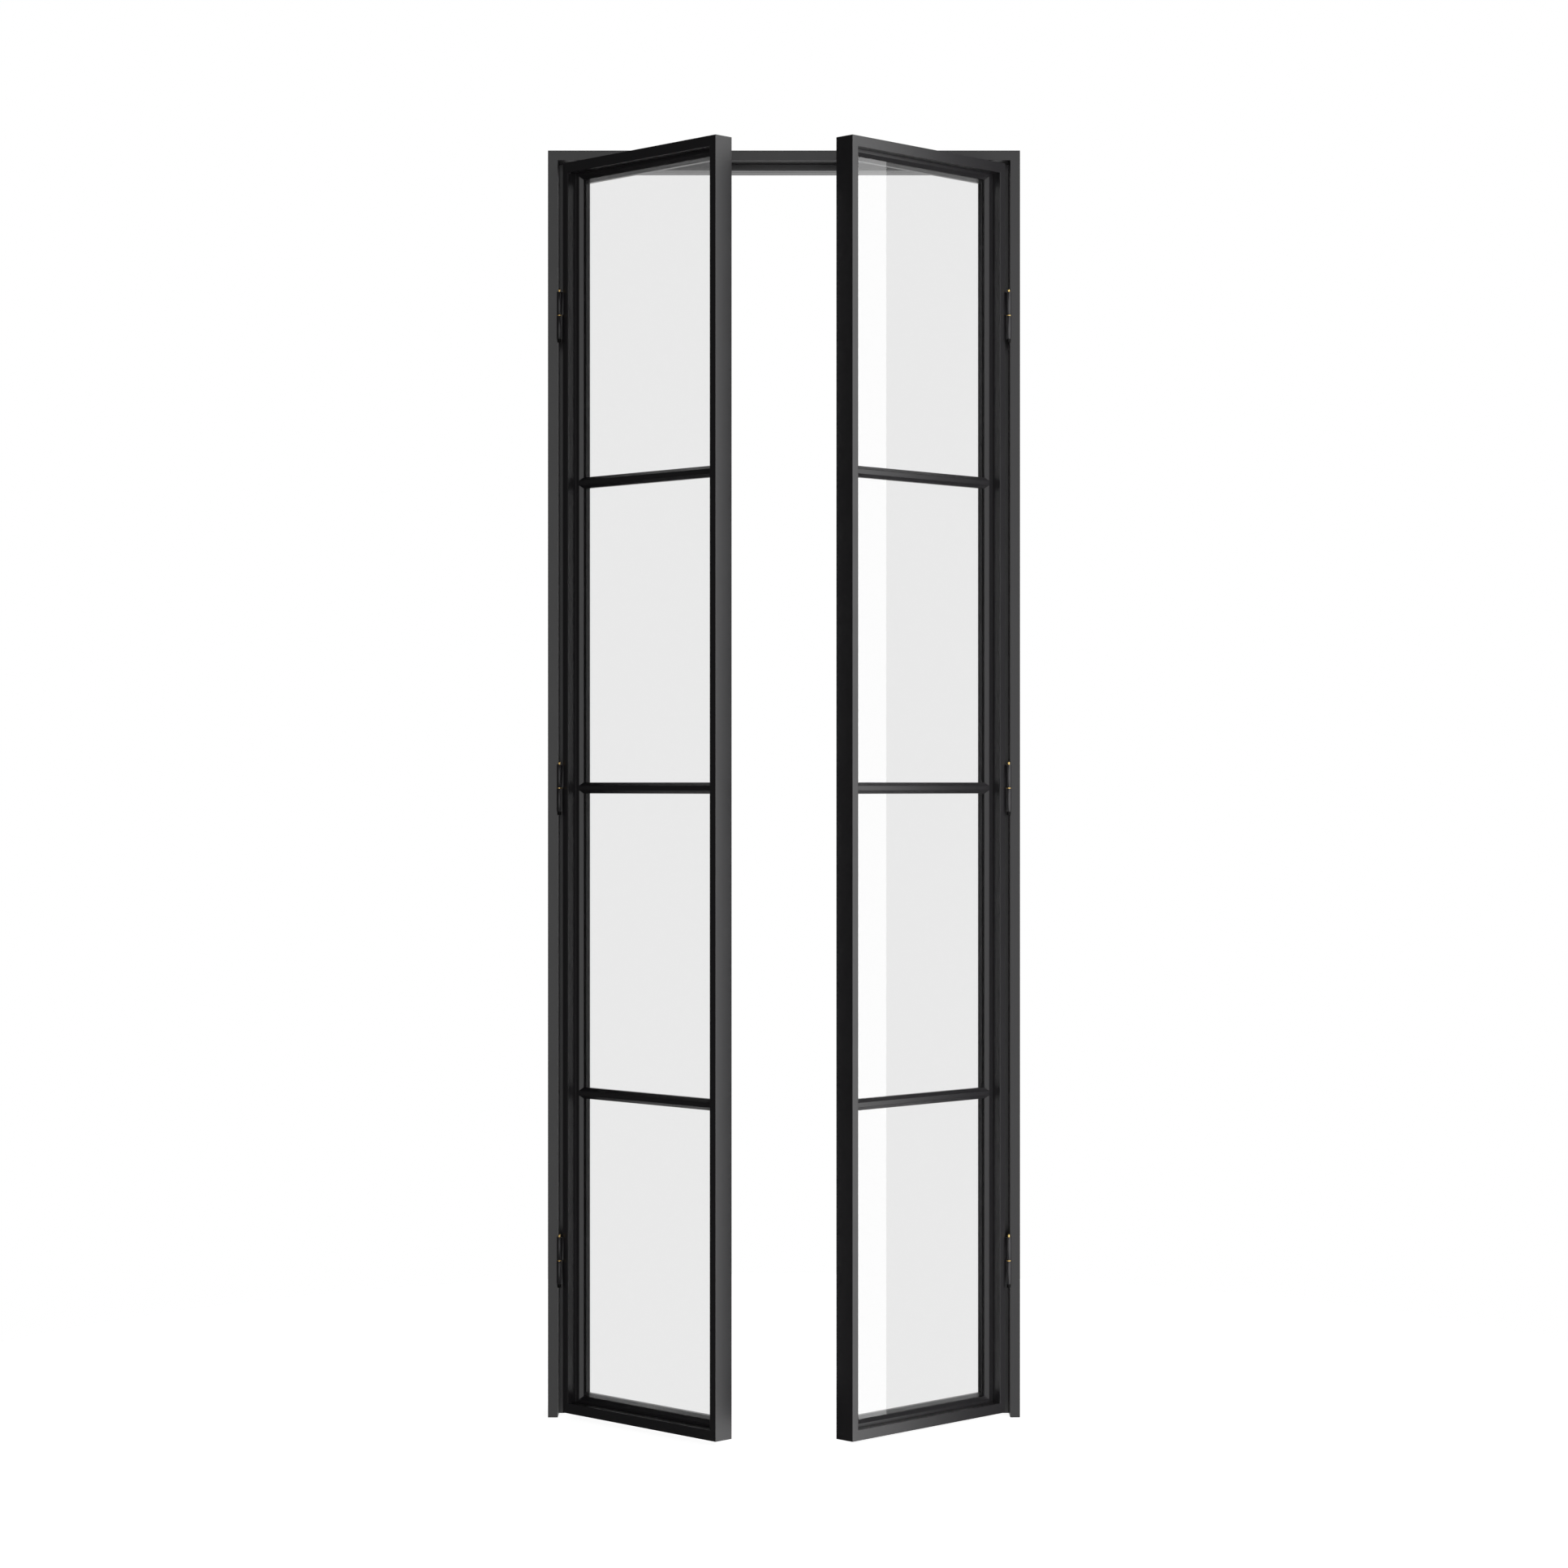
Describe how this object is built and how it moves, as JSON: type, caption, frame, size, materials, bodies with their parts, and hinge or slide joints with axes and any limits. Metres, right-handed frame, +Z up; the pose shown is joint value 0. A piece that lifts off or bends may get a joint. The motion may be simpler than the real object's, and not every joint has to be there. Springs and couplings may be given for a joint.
{
  "type": "glazed double pantry doors",
  "caption": "Pair of slim black steel double doors with glazed lites, hung on barrel hinges in a steel frame.",
  "frame": {"origin": "centre of the flat top face of the frame's head, where the frame is fixed under the lintel", "axes": "+X to the right seen from the front, +Y from front to back, +Z up"},
  "size_m": [0.762, 0.3438, 2.045],
  "materials": {
    "frame_steel": "satin black powder coat",
    "leaf_steel": "satin black powder coat",
    "bead_steel": "satin black powder coat",
    "hinge_steel": "satin black, slightly worn at the edges",
    "brass": "turned and polished",
    "glass": "clear polished"
  },
  "bodies": {
    "frame": {"head": "frame_steel", "left_jamb": "frame_steel", "left_jamb_knuckles": "hinge_steel", "left_hinge_pins": "brass", "left_hinge_washers": "brass", "right_jamb": "frame_steel", "right_jamb_knuckles": "hinge_steel", "right_hinge_pins": "brass", "right_hinge_washers": "brass"},
    "left_leaf": {"left_hinge_stile": "leaf_steel", "left_meeting_stile": "leaf_steel", "left_top_rail": "leaf_steel", "left_bottom_rail": "leaf_steel", "left_leaf_knuckles": "hinge_steel", "left_muntin_1": "leaf_steel", "left_muntin_2": "leaf_steel", "left_muntin_3": "leaf_steel", "left_glass_1": "glass", "left_glass_2": "glass", "left_glass_3": "glass", "left_glass_4": "glass", "left_beads_1": "bead_steel", "left_beads_2": "bead_steel", "left_beads_3": "bead_steel", "left_beads_4": "bead_steel"},
    "right_leaf": {"right_hinge_stile": "leaf_steel", "right_meeting_stile": "leaf_steel", "right_top_rail": "leaf_steel", "right_bottom_rail": "leaf_steel", "right_leaf_knuckles": "hinge_steel", "right_muntin_1": "leaf_steel", "right_muntin_2": "leaf_steel", "right_muntin_3": "leaf_steel", "right_glass_1": "glass", "right_glass_2": "glass", "right_glass_3": "glass", "right_glass_4": "glass", "right_beads_1": "bead_steel", "right_beads_2": "bead_steel", "right_beads_3": "bead_steel", "right_beads_4": "bead_steel"}
  },
  "joints": [
    {"name": "left_leaf_hinge", "type": "hinge", "parent": "frame", "child": "left_leaf", "pos_m": [-0.36235, -0.0493, -1.0225], "axis": [0, 0, -1], "range_deg": [-45, 135]},
    {"name": "right_leaf_hinge", "type": "hinge", "parent": "frame", "child": "right_leaf", "pos_m": [0.36235, -0.0493, -1.0225], "axis": [0, 0, 1], "range_deg": [-45, 135]}
  ]
}
